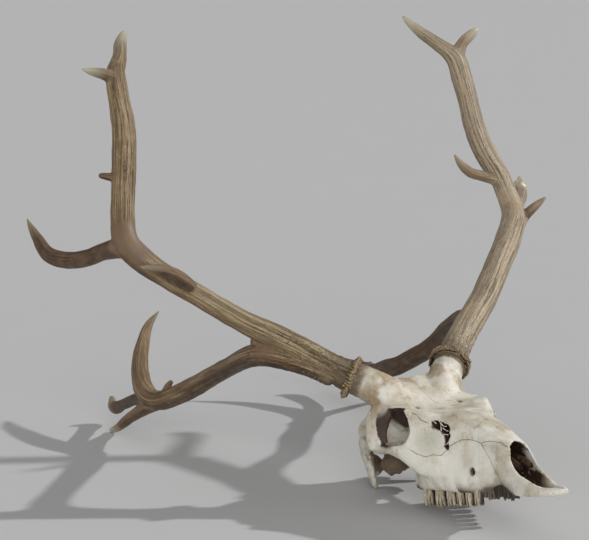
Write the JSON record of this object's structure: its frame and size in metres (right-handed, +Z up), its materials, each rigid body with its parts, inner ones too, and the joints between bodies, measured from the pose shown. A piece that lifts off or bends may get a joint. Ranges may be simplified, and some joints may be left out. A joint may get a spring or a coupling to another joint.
{
  "type": "deer antler rack on skull",
  "caption": "Antler rack of a Pere David's deer stag still grown on its bleached skull, without the lower jaw, lying nose up on the floor",
  "frame": {"origin": "middle of the bounding box seen from above, on the floor it lies on", "axes": "muzzle toward -Y, the antlers reach back toward +Y; the animal's left is +X; +Z up, as it lies at rest"},
  "size_m": [0.9138, 0.9826, 0.6823],
  "materials": {
    "bleached_bone": "dry matte bone",
    "weathered_antler": "grooved, dull",
    "polished_antler": "smooth, satin",
    "stained_enamel": "satin, stained"
  },
  "bodies": {
    "root": {"skull": "bleached_bone", "beam_lower_R": "weathered_antler", "beam_upper_R": "weathered_antler", "rear_tine_R": "weathered_antler", "rear_tall_tine_R": "polished_antler", "rear_blunt_tine_R": "polished_antler", "rear_foot_tine_R": "polished_antler", "outer_tine_R": "polished_antler", "front_tine_R": "polished_antler", "top_tine_R": "polished_antler", "top_point_R": "polished_antler", "premolar_2_R": "stained_enamel", "premolar_3_R": "stained_enamel", "premolar_4_R": "stained_enamel", "molar_1_R": "stained_enamel", "molar_2_R": "stained_enamel", "molar_3_R": "stained_enamel", "beam_lower_L": "weathered_antler", "beam_upper_L": "weathered_antler", "rear_tine_L": "weathered_antler", "rear_tall_tine_L": "polished_antler", "rear_blunt_tine_L": "polished_antler", "rear_foot_tine_L": "polished_antler", "outer_tine_L": "polished_antler", "front_tine_L": "polished_antler", "top_tine_L": "polished_antler", "top_point_L": "polished_antler", "inner_tine_L": "polished_antler", "premolar_2_L": "stained_enamel", "premolar_3_L": "stained_enamel", "premolar_4_L": "stained_enamel", "molar_1_L": "stained_enamel", "molar_2_L": "stained_enamel", "molar_3_L": "stained_enamel"}
  },
  "joints": []
}
